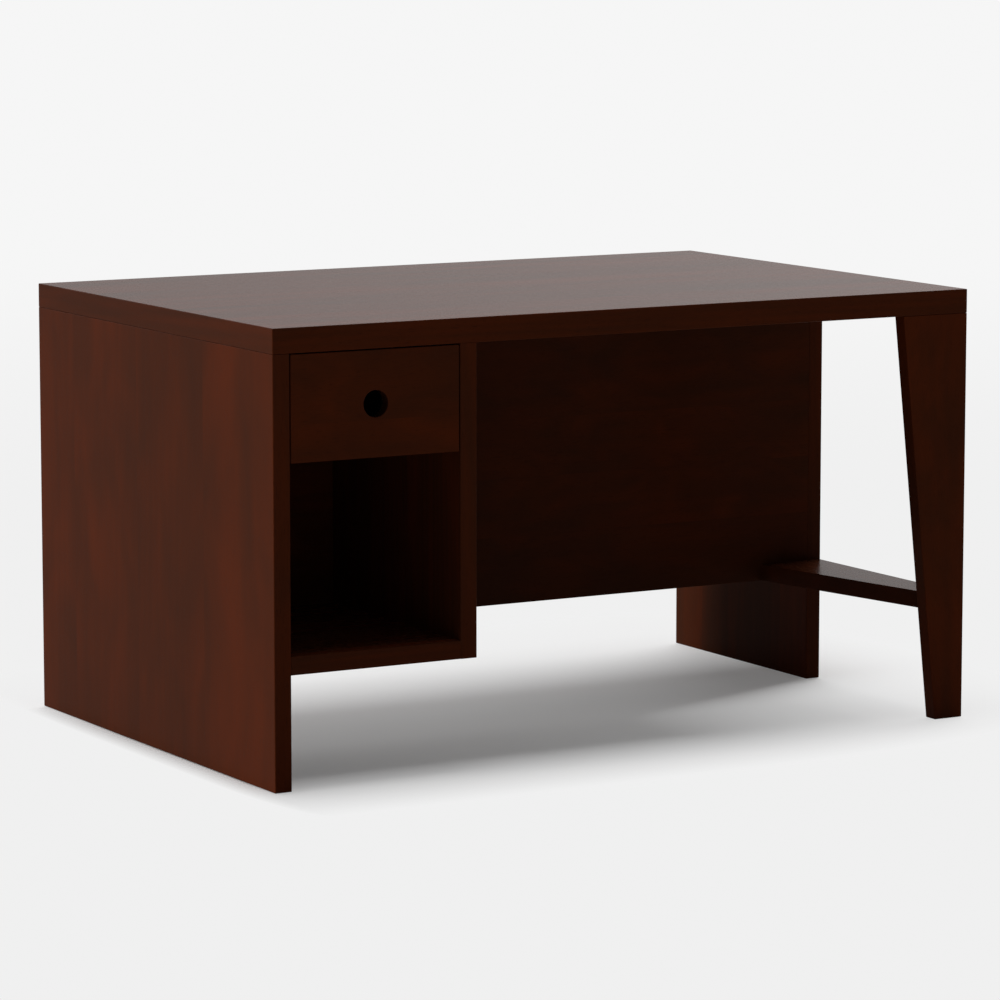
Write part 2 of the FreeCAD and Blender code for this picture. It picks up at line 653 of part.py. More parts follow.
def lipped_channel():
    """The cabinet member's outline: its flanges end in lips that keep the ball cage in."""
    lip = f"({cabinet_tip} - rail_gauge)"
    lip_end = f"({outer_race} - rail_gauge)"
    points = channel("0", cabinet_tip, "slide_height / 2", "rail_gauge", 1)
    points[2:3] = [(cabinet_tip, f"-{lip_end}"), (lip, f"-{lip_end}"), (lip, f"-{outer_race}")]
    points[7:8] = [(lip, outer_race), (lip, lip_end), (cabinet_tip, lip_end)]
    return points


def balls(label, centres, diameter):
    spheres = []
    for centre in centres:
        sphere = doc.addObject("Part::Sphere", f"{label}_ball")
        bind(sphere, "Radius", f"{diameter} / 2")
        for axis, text in centre.items():
            bind(sphere, f"Placement.Base.{axis.lower()}", f"{text} - {desk_middle[axis]}")
        spheres.append(sphere)
    made = doc.addObject("Part::Compound", label)
    made.Label = label
    made.Links = spheres
    nodes.append(made)


hands = (("left", left_end, "end_thickness", 1), ("right", side, side_inner, -1))
for hand, panel, panel_face, toward in hands:

    def across(distance):
        return f"({panel_face} + ({toward}) * {distance})"

    def member(name, section, start, length):
        piece = Piece(f"{name}_{hand}", panel_face, start, slide_level)
        piece.pad("Y", start, [(across(u), f"({slide_level} + {w})") for u, w in section], length)
        nodes.append(piece.body)
        return piece

    screw_places = [(at_share((slide_start, slide_end), share), slide_level) for share in rail_screw_shares]
    cabinet = member("slide_cabinet_member", lipped_channel(), slide_start, slide_length)
    cabinet.drill("X", panel_face, screw_places, rail_bore, "rail_gauge", toward)
    panel.drill("X", panel_face, screw_places, rail_bore, rail_pilot, -toward)
    middle_section = channel(middle_web, middle_tip, middle_half, "rail_gauge", 1)
    middle = member("slide_middle_member", middle_section, slide_start, slide_length)
    middle.drill("X", across(middle_web), screw_places, "rail_head_diameter + 2 * running_gap",
                 "rail_gauge", toward)
    drawer_section = channel("slide_thickness", drawer_tip, drawer_half, "rail_gauge", -1)
    drawer = member("slide_drawer_member", drawer_section, slide_start, slide_length)
    drawer.drill("X", across("slide_thickness"), screw_places, rail_bore, "rail_gauge", -toward)
    box_sides[hand].drill("X", across("slide_thickness"), screw_places, rail_bore, rail_pilot, toward)
    for place, level in screw_places:
        seat = {"X": across("rail_gauge"), "Y": place, "Z": level}
        rail_screws["cabinet"].append((seat, facing("X", toward)))
        seat = {"X": across("(slide_thickness - rail_gauge)"), "Y": place, "Z": level}
        rail_screws["drawer"].append((seat, facing("X", -toward)))
    for row, web, tip, ball_place, ball_level in (
            ("outer", outer_cage_web, outer_cage_tip, outer_ball_place, outer_ball_level),
            ("inner", inner_cage_web, inner_cage_tip, inner_ball_place, inner_ball_level)):
        ball = f"{row}_ball_diameter"
        half = f"({ball_level} + cage_gauge / 2)"
        cage = member(f"{row}_ball_cage", channel(web, tip, half, "cage_gauge", 1), cage_start, "cage_length")
        stations = [f"({cage_start} + cage_length * {(index + 0.5) / cage_ball_count})"
                    for index in range(cage_ball_count)]
        seats = [(across(ball_place), station) for station in stations]
        cage.drill("Z", f"({slide_level} + {half})", seats, f"{ball} + ball_play", "cage_gauge", -1)
        cage.drill("Z", f"({slide_level} - {half})", seats, f"{ball} + ball_play", "cage_gauge", 1)
        balls(f"{row}_balls_{hand}", [{"X": x, "Y": y, "Z": f"({slide_level} + ({sign}) * {ball_level})"}
                                      for x, y in seats for sign in (1, -1)], ball)

rail_screw = screw("rail")
group("slide_cabinet_screws", rail_screw, rail_screws["cabinet"])
group("slide_drawer_screws", rail_screw, rail_screws["drawer"])

# Steel angle behind the leg, under the top.
bracket_left = f"({leg_left} + (leg_top_width - bracket_length) / 2)"
bracket_span = (bracket_left, f"({bracket_left} + bracket_length)")
bracket_low = f"({under_top} - bracket_flange)"
bracket = Piece("leg_bracket", bracket_left, "leg_thickness", bracket_low)
bracket.pad("X", bracket_left, [
    ("leg_thickness", bracket_low),
    ("leg_thickness + bracket_gauge", bracket_low),
    ("leg_thickness + bracket_gauge", f"{under_top} - bracket_gauge"),
    ("leg_thickness + bracket_flange", f"{under_top} - bracket_gauge"),
    ("leg_thickness + bracket_flange", under_top),
    ("leg_thickness", under_top),
], "bracket_length")
nodes.append(bracket.body)
bracket_bore = "(bracket_screw_diameter + 2 * screw_play)"
bracket_pilot = "bracket_screw_length - bracket_gauge + bore_end_gap"
bracket_mid = "(bracket_gauge + bracket_flange) / 2"
leg_screws = [(at_share(bracket_span, share), f"({under_top} - {bracket_mid})") for share in pair_shares]
top_screws = [(at_share(bracket_span, share), f"(leg_thickness + {bracket_mid})") for share in pair_shares]
bracket.drill("Y", "leg_thickness", leg_screws, bracket_bore, "bracket_gauge", 1)
bracket.drill("Z", under_top, top_screws, bracket_bore, "bracket_gauge", -1)
leg.drill("Y", "leg_thickness", leg_screws, bracket_bore, bracket_pilot, -1)
top.drill("Z", under_top, top_screws, bracket_bore, bracket_pilot, 1)
group("leg_bracket_screws", screw("bracket"),
      [({"X": x, "Y": "(leg_thickness + bracket_gauge)", "Z": z}, facing("Y", 1)) for x, z in leg_screws]
      + [({"X": x, "Y": y, "Z": f"({under_top} - bracket_gauge)"}, facing("Z", -1)) for x, y in top_screws])

# Glides nailed into recesses under the boards that stand on the floor.
glide_feet = [
    (left_end, [("end_thickness / 2", at_share(whole_depth, share)) for share in end_glide_shares]),
    (support, [(f"({support_inner} + support_thickness / 2)", at_share(rear_half, share))
               for share in support_glide_shares]),
    (leg, [("(desk_width - leg_foot_width / 2)", "leg_thickness / 2")]),
]
glide_spots = []
for piece, centres in glide_feet:
    piece.drill("Z", "glide_proud", centres, "glide_diameter + 2 * pin_play",
                "glide_thickness - glide_proud", 1)
    piece.drill("Z", "glide_thickness", centres, "nail_diameter + 2 * pin_play",
                "nail_length - glide_thickness + bore_end_gap", 1)
    glide_spots.extend(({"X": x, "Y": y, "Z": "0"}, Rotation()) for x, y in centres)

glide = fitting("floor_glide")
glide_rim = "(glide_diameter / 2)"
nail_bore = "(nail_diameter / 2 + pin_play)"
nail_well = "(nail_head_diameter / 2 + pin_play)"
glide.revolve([
    (nail_well, "0"),
    (f"{glide_rim} - glide_proud", "0"),
    (glide_rim, "glide_proud"),
    (glide_rim, "glide_thickness"),
    (nail_bore, "glide_thickness"),
    (nail_bore, "nail_head_depth"),
    (nail_well, "nail_head_depth"),
])
group("floor_glides", glide, glide_spots)

nail = fitting("glide_nail")
nail.revolve([
    ("0", "nail_head_depth - nail_head_height"),
    ("nail_head_diameter / 2", "nail_head_depth - nail_head_height"),
    ("nail_head_diameter / 2", "nail_head_depth"),
    ("nail_diameter / 2", "nail_head_depth"),
    ("nail_diameter / 2", "nail_length - nail_tip_length"),
    ("0", "nail_length"),
])
group("glide_nails", nail, glide_spots)

# The document is checked whole before anything is written.
doc.recompute()
for thing in doc.Objects:
    if "Invalid" in thing.State or "Error" in thing.State:
        raise RuntimeError(f"{thing.Label} failed: {thing.State}")
for made, sketch in pockets:
    removed = made.BaseFeature.Shape.Volume - made.Shape.Volume
    outlined = sum(Part.Face(wire).Area for wire in sketch.Shape.Wires)
    if removed < least_cut_share * outlined * made.Length.Value:
        raise RuntimeError(f"{made.Label} cuts {removed:.1f} of {outlined * made.Length.Value:.1f} mm3")
for node in nodes:
    if node.Shape.isNull() or not node.Shape.isValid():
        raise RuntimeError(f"{node.Label} has no valid shape")
    expected = len(node.Links) if node.TypeId == "Part::Compound" else 1
    if len(node.Shape.Solids) != expected:
        raise RuntimeError(f"{node.Label} has {len(node.Shape.Solids)} solids, not {expected}")

os.makedirs("parts", exist_ok=True)
for node in nodes:
    node.Shape.exportStep(f"parts/{node.Label}.step")
print(f"{len(nodes)} nodes written")
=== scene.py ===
import math
import bpy
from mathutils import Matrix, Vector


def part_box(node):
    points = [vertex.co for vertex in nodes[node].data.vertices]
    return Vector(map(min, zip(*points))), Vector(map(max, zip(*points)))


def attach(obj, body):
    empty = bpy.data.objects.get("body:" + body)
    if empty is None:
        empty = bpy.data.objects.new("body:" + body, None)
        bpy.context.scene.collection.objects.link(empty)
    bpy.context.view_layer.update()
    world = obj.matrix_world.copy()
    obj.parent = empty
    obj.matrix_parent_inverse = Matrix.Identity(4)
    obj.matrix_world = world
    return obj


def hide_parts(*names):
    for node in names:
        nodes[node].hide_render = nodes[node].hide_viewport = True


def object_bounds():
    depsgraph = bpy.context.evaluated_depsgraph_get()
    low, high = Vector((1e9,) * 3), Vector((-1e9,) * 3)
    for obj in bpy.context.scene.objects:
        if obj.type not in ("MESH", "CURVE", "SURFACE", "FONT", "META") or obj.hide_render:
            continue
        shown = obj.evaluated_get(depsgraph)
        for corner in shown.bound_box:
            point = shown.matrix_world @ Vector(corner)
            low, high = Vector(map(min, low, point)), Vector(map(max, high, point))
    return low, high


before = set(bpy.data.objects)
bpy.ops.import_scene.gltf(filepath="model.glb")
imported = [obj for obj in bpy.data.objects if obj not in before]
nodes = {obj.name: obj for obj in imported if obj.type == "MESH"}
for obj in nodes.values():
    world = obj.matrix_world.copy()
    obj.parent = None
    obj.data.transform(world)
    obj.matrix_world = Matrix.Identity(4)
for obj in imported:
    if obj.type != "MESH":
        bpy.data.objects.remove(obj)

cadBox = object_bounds()
bpy.ops.object.select_all(action="DESELECT")
print("desk loaded:", len(nodes), "nodes")


# Small helpers for shader trees

def feed(tree, socket, value):
    if isinstance(value, bpy.types.NodeSocket):
        tree.links.new(value, socket)
    else:
        socket.default_value = value


def addNode(tree, kind, feeds=None, **settings):
    made = tree.nodes.new("ShaderNode" + kind)
    for name, value in settings.items():
        setattr(made, name, value)
    for key, value in (feeds or {}).items():
        feed(tree, made.inputs[key], value)
    return made


def calc(tree, operation, *values, clamp=False):
    made = addNode(tree, "Math", operation=operation, use_clamp=clamp)
    for socket, value in zip(made.inputs, values):
        feed(tree, socket, value)
    return made.outputs[0]


def centred(tree, value):  # noise runs from 0 to 1, and this swings about nothing
    return calc(tree, "SUBTRACT", value, 0.5)


def splitAxes(tree, vector):
    return addNode(tree, "SeparateXYZ", {"Vector": vector}).outputs


def joinAxes(tree, *values):
    return addNode(tree, "CombineXYZ", dict(enumerate(values))).outputs[0]


def stretch(tree, vector, by):
    made = addNode(tree, "VectorMath", {0: vector, 1: by}, operation="MULTIPLY")
    return made.outputs[0]


def shift(tree, vector, by):
    made = addNode(tree, "VectorMath", {0: vector, 1: by}, operation="ADD")
    return made.outputs[0]


def speckle(tree, vector, scale=1.0, detail=2.0, roughness=0.5, distortion=0.0):
    made = addNode(tree, "TexNoise", {"Vector": vector, "Scale": scale, "Detail": detail,
                                      "Roughness": roughness, "Distortion": distortion})
    return made.outputs["Fac"]


def window(tree, value, low, high, start=0.0, end=1.0):
    made = addNode(tree, "MapRange", {"Value": value, "From Min": low, "From Max": high,
                                      "To Min": start, "To Max": end}, interpolation_type="SMOOTHSTEP")
    return made.outputs["Result"]


def mixColour(tree, factor, first, second):
    made = addNode(tree, "Mix", {0: factor, 6: first, 7: second}, data_type="RGBA")
    return made.outputs[2]


def palette(tree, factor, stops):
    made = addNode(tree, "ValToRGB", {"Fac": factor})
    ramp = made.color_ramp
    while len(ramp.elements) < len(stops):
        ramp.elements.new(0.5)
    for element, (place, colour) in zip(ramp.elements, stops):
        element.position = place
        element.color = (*colour, 1.0)
    return made.outputs["Color"]


def emboss(tree, shader, height, strength, depth):
    bump = addNode(tree, "Bump", {"Height": height, "Strength": strength, "Distance": depth})
    feed(tree, shader.inputs["Normal"], bump.outputs["Normal"])


def newFinish(name, **constants):
    material = bpy.data.materials.new(name)
    material.use_nodes = True
    tree = material.node_tree
    shader = tree.nodes["Principled BSDF"]
    for socket, value in constants.items():
        shader.inputs[socket].default_value = value
    return material, tree, shader


def dress(material, *names):
    for name in names:
        slots = nodes[name].data.materials
        slots.clear()
        slots.append(material)


# Wood: one generator for all boards, told apart by finish and by board

stainedFinish = {
    "stops": ((0.2, (0.053, 0.0164, 0.0074)), (0.5, (0.073, 0.0178, 0.0066)), (0.8, (0.099, 0.0200, 0.0061))),
    "poreColour": (0.024, 0.0075, 0.0042), "poreDepth": 0.35, "poreLow": 0.60, "poreHigh": 0.70,
    "bandWeight": 0.70, "patchWeight": 0.85, "ringWeight": 0.06, "streakWeight": 0.10, "fibreWeight": 0.10,
    "bandStretch": (2.0, 6.5, 6.5), "patchStretch": (6.0, 13.0, 13.0), "staveWeight": 0.22, "seamDepth": 0.2,
    "ringPitch": 0.0075, "roughness": 0.26, "glossSpread": 0.02, "ior": 1.05, "bump": 0.05,
    "lippedEnds": True,
}
calmFinish = dict(stainedFinish, bandStretch=(1.2, 5.0, 5.0), patchStretch=(3.0, 7.0, 7.0))
longFinish = dict(stainedFinish, bandStretch=(1.0, 7.0, 7.0), patchStretch=(2.2, 15.0, 15.0), ringWeight=0.12,
                  streakWeight=0.24, fibreWeight=0.16)

# What all woods share; a stretch is given along the grain, across it and through the board
figure = {"streakStretch": (2.2, 75.0, 75.0), "fibreStretch": (10.0, 520.0, 520.0), "fibreHeight": 0.35,
          "poreStretch": (60.0, 900.0, 900.0), "wobbleStretch": (1.6, 9.0, 9.0), "wobbleDepth": 0.05,
          "ringTaper": 0.012, "pithAcross": 0.15, "pithDepth": 0.09, "seedShift": (0.37, 0.011, 0.05),
          "wholeBoard": 0.5, "staveRate": 2.1, "staveSwing": 0.25, "staveJump": (4.0, 0.3, 0.3),
          "seedStep": 7.3, "seamWidth": 0.0006, "endFacing": 0.7, "bumpDepth": 0.0002}
axisOrder = "xyz"
# The inside of the finger hole is darkened as painted shade, in the drawer's face and in the box behind it
paintedHoleShade = {"centre": [(a + b) / 2 for a, b in zip(*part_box("drawer_front"))],
              "colour": (0.012, 0.004, 0.0025), "edge": 0.0008}


def woodFinish(name, finish, board):
    grain, cross = axisOrder.index(board["grain"]), axisOrder.index(board["cross"])
    through = 3 - grain - cross  # the axis that is left
    seed, stave = board["seed"], board.get("stave", figure["wholeBoard"])
    material, tree, shader = newFinish(name, IOR=finish["ior"])
    place = addNode(tree, "TexCoord").outputs
    parts = splitAxes(tree, place["Object"])
    point = joinAxes(tree, parts[grain], parts[cross], parts[through])
    if finish["lippedEnds"]:  # a lipping covers each end, with its grain along the edge
        turn = splitAxes(tree, place["Normal"])
        onEnd = calc(tree, "GREATER_THAN", calc(tree, "ABSOLUTE", turn[grain]), figure["endFacing"])
        endPoint = joinAxes(tree, parts[cross], parts[grain], parts[through])
        point = addNode(tree, "Mix", {0: onEnd, 4: point, 5: endPoint}, data_type="VECTOR").outputs[1]
    across = splitAxes(tree, point)[1]
    point = shift(tree, point, tuple(step * seed for step in figure["seedShift"]))
    # staves of uneven width, each cut from another place of the tree
    count = calc(tree, "DIVIDE", calc(tree, "SUBTRACT", across, board.get("edge", 0.0)), stave)
    swing = calc(tree, "SINE", calc(tree, "MULTIPLY", count, figure["staveRate"]))
    count = calc(tree, "MULTIPLY_ADD", swing, figure["staveSwing"], count)
    number = calc(tree, "ADD", calc(tree, "FLOOR", count), figure["seedStep"] * seed)
    draw = addNode(tree, "TexWhiteNoise", {"W": number}, noise_dimensions="1D").outputs
    point = shift(tree, point, stretch(tree, draw["Color"], figure["staveJump"]))
    # broad flames, patches, streaks and fibre, coarse to fine
    band = speckle(tree, stretch(tree, point, finish["bandStretch"]), detail=2.5, distortion=0.5)
    patch = speckle(tree, stretch(tree, point, finish["patchStretch"]), distortion=1.0)
    streak = speckle(tree, stretch(tree, point, figure["streakStretch"]), detail=3.0, roughness=0.55,
                     distortion=0.2)
    fibre = speckle(tree, stretch(tree, point, figure["fibreStretch"]), roughness=0.6)
    # growth rings about the pith, a little wavy and wider towards one end
    wobble = speckle(tree, stretch(tree, point, figure["wobbleStretch"]), detail=1.0)
    core = splitAxes(tree, point)
    sideways = calc(tree, "POWER", calc(tree, "SUBTRACT", core[1], figure["pithAcross"]), 2.0)
    inwards = calc(tree, "POWER", calc(tree, "ADD", core[2], figure["pithDepth"]), 2.0)
    reach = calc(tree, "SQRT", calc(tree, "ADD", sideways, inwards))
    reach = calc(tree, "ADD", reach, calc(tree, "MULTIPLY", wobble, figure["wobbleDepth"]))
    reach = calc(tree, "MULTIPLY_ADD", core[0], figure["ringTaper"], reach)
    ring = calc(tree, "PINGPONG", calc(tree, "DIVIDE", reach, finish["ringPitch"]), 1.0)
    # a board's tone shift, which paints light on some boards and shade on others
    tone = 0.5 + board.get("toneAndShade", 0.0)
    layers = {"stave": draw["Value"], "band": band, "patch": patch, "ring": ring, "streak": streak,
              "fibre": fibre}
    for layer, value in layers.items():
        tone = calc(tree, "MULTIPLY_ADD", centred(tree, value), finish[layer + "Weight"], tone)
    colour = palette(tree, tone, finish["stops"])
    # open pores, short and dark along the grain, and glue lines between staves
    pore = speckle(tree, stretch(tree, point, figure["poreStretch"]), detail=1.0)
    pore = window(tree, pore, finish["poreLow"], finish["poreHigh"])
    border = calc(tree, "ABSOLUTE", centred(tree, calc(tree, "FRACT", count)))
    seam = window(tree, border, 0.5 - figure["seamWidth"] / stave, 0.5)
    for mark, depth in ((pore, "poreDepth"), (seam, "seamDepth")):
        cover = calc(tree, "MULTIPLY", mark, finish[depth])
        colour = mixColour(tree, cover, colour, (*finish["poreColour"], 1.0))
    # painted shade inside the finger hole, strongest in the drawer box's front
    if "hole" in board:
        radius, depth = board["hole"]
        spoke = shift(tree, place["Object"], [-value for value in paintedHoleShade["centre"]])
        spoke = stretch(tree, spoke, (1.0, 0.0, 1.0))
        spoke = addNode(tree, "VectorMath", {0: spoke}, operation="LENGTH").outputs["Value"]
        holeShadeMask = window(tree, spoke, radius, radius + paintedHoleShade["edge"], depth, 0.0)
        colour = mixColour(tree, holeShadeMask, colour, (*paintedHoleShade["colour"], 1.0))
    feed(tree, shader.inputs["Base Color"], colour)
    rough = calc(tree, "MULTIPLY_ADD", centred(tree, streak), finish["glossSpread"], finish["roughness"])
    feed(tree, shader.inputs["Roughness"], calc(tree, "MULTIPLY_ADD", pore, finish["glossSpread"], rough))
    height = calc(tree, "SUBTRACT", calc(tree, "MULTIPLY", fibre, figure["fibreHeight"]), pore)
    emboss(tree, shader, height, finish["bump"], figure["bumpDepth"])
    return material


# Grain and cross are axes, stave is a stave's mean width and edge is where the staves start
# A board's tone shift is partly its own tone and partly painted light and shade, and hole is the radius of a
# hole and how strongly its inside is darkened as painted shade
topSlab = {"node": "top_panel", "finish": longFinish, "grain": "x", "cross": "y", "seed": 1.0,
           "stave": 0.118, "toneAndShade": -0.07}
leftEnd = {"node": "left_end_panel", "finish": calmFinish, "grain": "z", "cross": "y", "seed": 22.7,
           "stave": 0.34, "edge": 0.056}
pedestalSide = {"node": "pedestal_side_panel", "finish": longFinish, "grain": "z", "cross": "y", "seed": 3.0,
                "stave": 0.12, "toneAndShade": -0.04}
pedestalFloor = {"node": "pedestal_floor_panel", "finish": longFinish, "grain": "x", "cross": "y",
                 "seed": 4.0, "stave": 0.12}
# the modesty board's tone is lowered as painted shade
modestyBoard = {"node": "modesty_panel", "finish": stainedFinish, "grain": "x", "cross": "z", "seed": 25.1,
                "stave": 0.14, "toneAndShade": -0.07}
# the support's tone is lowered as painted shade
rearSupport = {"node": "rear_support_panel", "finish": longFinish, "grain": "z", "cross": "y", "seed": 6.0,
               "stave": 0.12, "toneAndShade": -0.12}
# the leg's tone is lifted as painted light
frontLeg = {"node": "front_leg", "finish": stainedFinish, "grain": "z", "cross": "x", "seed": 47.2,
            "stave": 0.4, "toneAndShade": 0.18}
# the stretcher's tone is lowered as painted shade
footStretcher = {"node": "foot_stretcher", "finish": stainedFinish, "grain": "y", "cross": "x", "seed": 8.0,
                 "stave": 0.4, "toneAndShade": -0.25}
# the drawer face's tone is lifted a little as painted light
drawerFace = {"node": "drawer_front", "finish": stainedFinish, "grain": "x", "cross": "z", "seed": 79.9,
              "stave": 0.3, "edge": 0.605, "toneAndShade": 0.05, "hole": (0.0225, 0.6)}
for board in (topSlab, leftEnd, pedestalSide, pedestalFloor, modestyBoard, rearSupport, frontLeg,
              footStretcher, drawerFace):
    dress(woodFinish("stained_" + board["node"], board["finish"], board), board["node"])
print("boards stained")

# Drawer box: pale hardwood under clear lacquer, with bare end grain on its dovetails

lacqueredFinish = {
    "stops": ((0.18, (0.30, 0.175, 0.10)), (0.5, (0.42, 0.27, 0.17)), (0.82, (0.53, 0.36, 0.24))),
    "poreColour": (0.22, 0.12, 0.07), "poreDepth": 0.5, "poreLow": 0.58, "poreHigh": 0.70,
    "bandWeight": 0.55, "patchWeight": 0.35, "ringWeight": 0.28, "streakWeight": 0.30, "fibreWeight": 0.22,
    "bandStretch": (1.3, 12.0, 12.0), "patchStretch": (5.0, 22.0, 22.0), "staveWeight": 0.1, "seamDepth": 0.0,
    "ringPitch": 0.006, "roughness": 0.42, "glossSpread": 0.12, "ior": 1.45, "bump": 0.15,
    "lippedEnds": False,
}
plyFinish = dict(lacqueredFinish, ringWeight=0.10, poreDepth=0.3, roughness=0.55,
                 stops=((0.18, (0.41, 0.275, 0.17)), (0.5, (0.50, 0.35, 0.23)), (0.82, (0.58, 0.43, 0.30))))
beechFinish = dict(lacqueredFinish, poreColour=(0.45, 0.28, 0.16), poreDepth=0.6, roughness=0.65,
                   stops=((0.18, (0.62, 0.45, 0.29)), (0.5, (0.72, 0.55, 0.38)), (0.82, (0.79, 0.63, 0.46))))
boxFront = {"node": "drawer_box_front", "finish": lacqueredFinish, "grain": "x", "cross": "z", "seed": 11.0,
            "hole": (0.0275, 0.9)}
boxLeft = {"node": "drawer_box_left_side", "finish": lacqueredFinish, "grain": "y", "cross": "z",
           "seed": 12.0}
boxRight = {"node": "drawer_box_right_side", "finish": lacqueredFinish, "grain": "y", "cross": "z",
            "seed": 13.0}
boxBack = {"node": "drawer_box_back", "finish": lacqueredFinish, "grain": "x", "cross": "z", "seed": 14.0}
boxBottom = {"node": "drawer_bottom", "finish": plyFinish, "grain": "x", "cross": "y", "seed": 15.0}
dowels = {"node": "wooden_dowels", "finish": beechFinish, "grain": "x", "cross": "y", "seed": 16.0}
for piece in (boxFront, boxLeft, boxRight, boxBack, boxBottom, dowels):
    dress(woodFinish("clear_" + piece["node"], piece["finish"], piece), piece["node"])
print("drawer box lacquered")

# Metal: mottled plating over rolling marks, which run along the axis that is stretched least

plating = {"markShare": 0.5, "bumpDepth": 0.0001}


def metalFinish(name, finish):
    material, tree, shader = newFinish(name, Metallic=1.0)
    where = addNode(tree, "TexCoord").outputs["Object"]
    cloud = speckle(tree, where, finish["cloudScale"], detail=3.0, roughness=0.55, distortion=0.4)
    marks = speckle(tree, stretch(tree, where, finish["marks"]), detail=3.0, roughness=0.6)
    tone = calc(tree, "MULTIPLY_ADD", calc(tree, "SUBTRACT", marks, cloud), plating["markShare"], cloud)
    feed(tree, shader.inputs["Base Color"], palette(tree, tone, finish["stops"]))
    rough = finish["roughness"]
    for layer in (cloud, marks):
        rough = calc(tree, "MULTIPLY_ADD", centred(tree, layer), finish["spread"], rough)
    feed(tree, shader.inputs["Roughness"], rough)
    emboss(tree, shader, marks, finish["bump"], plating["bumpDepth"])
    return material


slideZinc = {"stops": ((0.25, (0.56, 0.575, 0.595)), (0.5, (0.62, 0.63, 0.64)), (0.75, (0.67, 0.675, 0.67))),
             "cloudScale": 70.0, "marks": (1200.0, 9.0, 1200.0), "roughness": 0.30, "spread": 0.10,
             "bump": 0.06}
cageSteel = {"stops": ((0.25, (0.46, 0.47, 0.49)), (0.5, (0.55, 0.56, 0.57)), (0.75, (0.63, 0.63, 0.63))),
             "cloudScale": 120.0, "marks": (1500.0, 14.0, 1500.0), "roughness": 0.34, "spread": 0.2,
             "bump": 0.1}
ballSteel = {"stops": ((0.25, (0.70, 0.70, 0.72)), (0.5, (0.75, 0.75, 0.76)), (0.75, (0.80, 0.80, 0.80))),
             "cloudScale": 300.0, "marks": (2500.0, 2500.0, 400.0), "roughness": 0.10, "spread": 0.08,
             "bump": 0.03}
screwSteel = {"stops": ((0.25, (0.50, 0.48, 0.42)), (0.5, (0.60, 0.59, 0.55)), (0.75, (0.69, 0.68, 0.65))),
              "cloudScale": 260.0, "marks": (1800.0, 1800.0, 1800.0), "roughness": 0.32, "spread": 0.25,
              "bump": 0.1}
camZinc = {"stops": ((0.25, (0.40, 0.40, 0.39)), (0.5, (0.50, 0.50, 0.49)), (0.75, (0.59, 0.59, 0.58))),
           "cloudScale": 180.0, "marks": (1400.0, 1400.0, 1400.0), "roughness": 0.50, "spread": 0.2,
           "bump": 0.4}
hands = ("left", "right")
for hand in hands:
    pressed = metalFinish("pressed_cage_" + hand, cageSteel)
    polished = metalFinish("polished_balls_" + hand, ballSteel)
    for run in ("outer", "inner"):
        dress(pressed, run + "_ball_cage_" + hand)
        dress(polished, run + "_balls_" + hand)
dress(metalFinish("plated_screws", screwSteel), "slide_cabinet_screws", "slide_drawer_screws",
      "drawer_front_screws", "leg_bracket_screws", "cam_bolts", "glide_nails")
dress(metalFinish("cast_cams", camZinc), "cam_locks")
print("balls, cages, screws and cams plated")

# Moulded plastic and powder coat: fine skin texture with faint clouds and scuffs

moulding = {"cloudScale": 45.0, "cloudGloss": 0.2, "skinShare": 0.35, "scuffStretch": (160.0, 900.0, 160.0),
            "scuffLow": 0.56, "scuffHigh": 0.72, "scuffGloss": 0.1, "bumpDepth": 0.0002}


def mouldedFinish(name, finish):
    material, tree, shader = newFinish(name, IOR=finish["ior"])
    where = addNode(tree, "TexCoord").outputs["Object"]
    cloud = speckle(tree, where, moulding["cloudScale"], detail=3.0, roughness=0.55)
    skin = speckle(tree, where, finish["skinScale"])
    scuff = speckle(tree, stretch(tree, where, moulding["scuffStretch"]), detail=3.0, roughness=0.6)
    scuff = window(tree, scuff, moulding["scuffLow"], moulding["scuffHigh"])
    tone = calc(tree, "MULTIPLY_ADD", centred(tree, skin), moulding["skinShare"], cloud)
    tone = calc(tree, "MULTIPLY_ADD", scuff, finish["scuff"], tone)
    feed(tree, shader.inputs["Base Color"], palette(tree, tone, finish["stops"]))
    rough = calc(tree, "MULTIPLY_ADD", centred(tree, cloud), moulding["cloudGloss"], finish["roughness"])
    feed(tree, shader.inputs["Roughness"], calc(tree, "MULTIPLY_ADD", scuff, moulding["scuffGloss"], rough))
    emboss(tree, shader, skin, finish["bump"], moulding["bumpDepth"])
    return material


capPlastic = {"stops": ((0.25, (0.062, 0.021, 0.011)), (0.5, (0.072, 0.025, 0.013)),
                        (0.75, (0.085, 0.031, 0.017))),
              "skinScale": 1500.0, "scuff": 0.1, "roughness": 0.46, "ior": 1.45, "bump": 0.12}
glideNylon = {"stops": ((0.25, (0.10, 0.066, 0.049)), (0.5, (0.12, 0.08, 0.06)),
                        (0.75, (0.15, 0.104, 0.081))),
              "skinScale": 1100.0, "scuff": 0.3, "roughness": 0.52, "ior": 1.5, "bump": 0.1}
bracketCoat = {"stops": ((0.25, (0.022, 0.022, 0.023)), (0.5, (0.03, 0.03, 0.03)),
                         (0.75, (0.045, 0.044, 0.043))),
               "skinScale": 650.0, "scuff": 0.15, "roughness": 0.42, "ior": 1.5, "bump": 0.3}
dress(mouldedFinish("moulded_caps", capPlastic), "cam_cover_caps")
dress(mouldedFinish("nylon_glides", glideNylon), "floor_glides")
print("caps and glides finished")

# Mesh helpers: faces, edges and points are picked by place, then shaped with operators

bench = {"samePlace": 1e-5, "mergeGap": 1e-6, "facing": 0.9, "holeSides": 28, "cutDepth": 4.0,
         "smoothAngle": 32.0}
bothWays = (1.0, -1.0)


def startBox(name, low, high):
    bpy.ops.object.select_all(action="DESELECT")
    bpy.ops.mesh.primitive_cube_add(size=1.0, location=[(a + b) / 2 for a, b in zip(low, high)])
    piece = bpy.context.object
    piece.name = name
    piece.scale = [b - a for a, b in zip(low, high)]
    bpy.ops.object.transform_apply(location=True, rotation=True, scale=True)
    return piece


